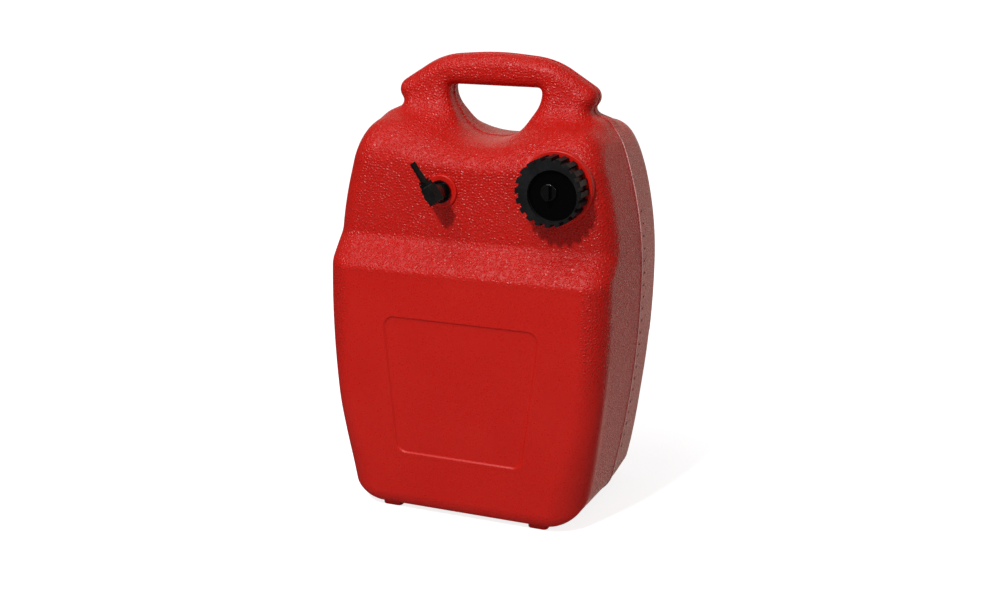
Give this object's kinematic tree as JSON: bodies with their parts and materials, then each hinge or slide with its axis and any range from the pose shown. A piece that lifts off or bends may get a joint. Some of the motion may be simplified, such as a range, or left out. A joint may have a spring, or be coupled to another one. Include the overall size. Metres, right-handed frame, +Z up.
{
  "type": "outboard fuel tank",
  "caption": "Portable moulded fuel tank with a carrying handle, a vented screw cap and a swivel elbow with a hose tail for an outboard motor's fuel line.",
  "frame": {"origin": "middle of the whole outline in plan, on the floor that the feet stand on", "axes": "+Z up, -Y to the front with the cap and the fuel outlet, +X to the side of the level scale"},
  "size_m": [0.3406, 0.2244, 0.5094],
  "materials": {
    "red_shell": "satin, leather grain",
    "black_cap": "matt, fine grain",
    "black_fitting": "satin",
    "black_gloss": "glossy",
    "seal_rubber": "matt",
    "steel": "bright stainless",
    "tube_plastic": "natural, translucent"
  },
  "bodies": {
    "tank": {"tank_body": "red_shell", "pickup_stem": "black_gloss", "pickup_gasket": "seal_rubber", "pickup_nut": "black_cap", "elbow_seals": "seal_rubber", "elbow_clip": "steel", "dip_tube": "tube_plastic", "strainer_body": "black_cap", "strainer_mesh": "steel"},
    "tether": {"tether_strap": "black_cap", "tether_toggle": "black_cap"},
    "cap": {"cap_shell": "black_cap", "cap_insert": "black_cap", "cap_gasket": "seal_rubber", "splash_baffle": "black_cap", "vent_o_ring": "seal_rubber"},
    "vent": {"vent_knob": "black_gloss", "vent_spindle": "steel"},
    "vent_valve": {"vent_plunger": "black_gloss", "vent_seal": "seal_rubber"},
    "elbow": {"elbow_body": "black_fitting", "elbow_cover": "black_fitting", "hose_tail": "black_gloss", "tail_washer": "seal_rubber"}
  },
  "joints": [
    {"name": "cap_lift", "type": "slide", "parent": "tank", "child": "tether", "axis": [0, -1, 0], "range_m": [0, 0.009]},
    {"name": "cap_turn", "type": "hinge", "parent": "tether", "child": "cap", "pos_m": [0.0995, -0.09545, 0.3795], "axis": [0, -1, 0], "range_deg": [0, 540]},
    {"name": "vent_turn", "type": "hinge", "parent": "cap", "child": "vent", "pos_m": [0.0995, -0.10375, 0.3795], "axis": [0, -1, 0], "range_deg": [0, 450]},
    {"name": "vent_valve_lift", "type": "slide", "parent": "cap", "child": "vent_valve", "axis": [0, -1, 0], "range_m": [0, 0.0012]},
    {"name": "elbow_swivel", "type": "hinge", "parent": "tank", "child": "elbow", "pos_m": [-0.0315, -0.10375, 0.367], "axis": [0, -1, 0], "continuous": true}
  ],
  "couplings": [
    {"joint": "cap_lift", "follows": "cap_turn", "m_per_rad": 0.00095493},
    {"joint": "vent_valve_lift", "follows": "vent_turn", "m_per_rad": 0.00015279}
  ]
}
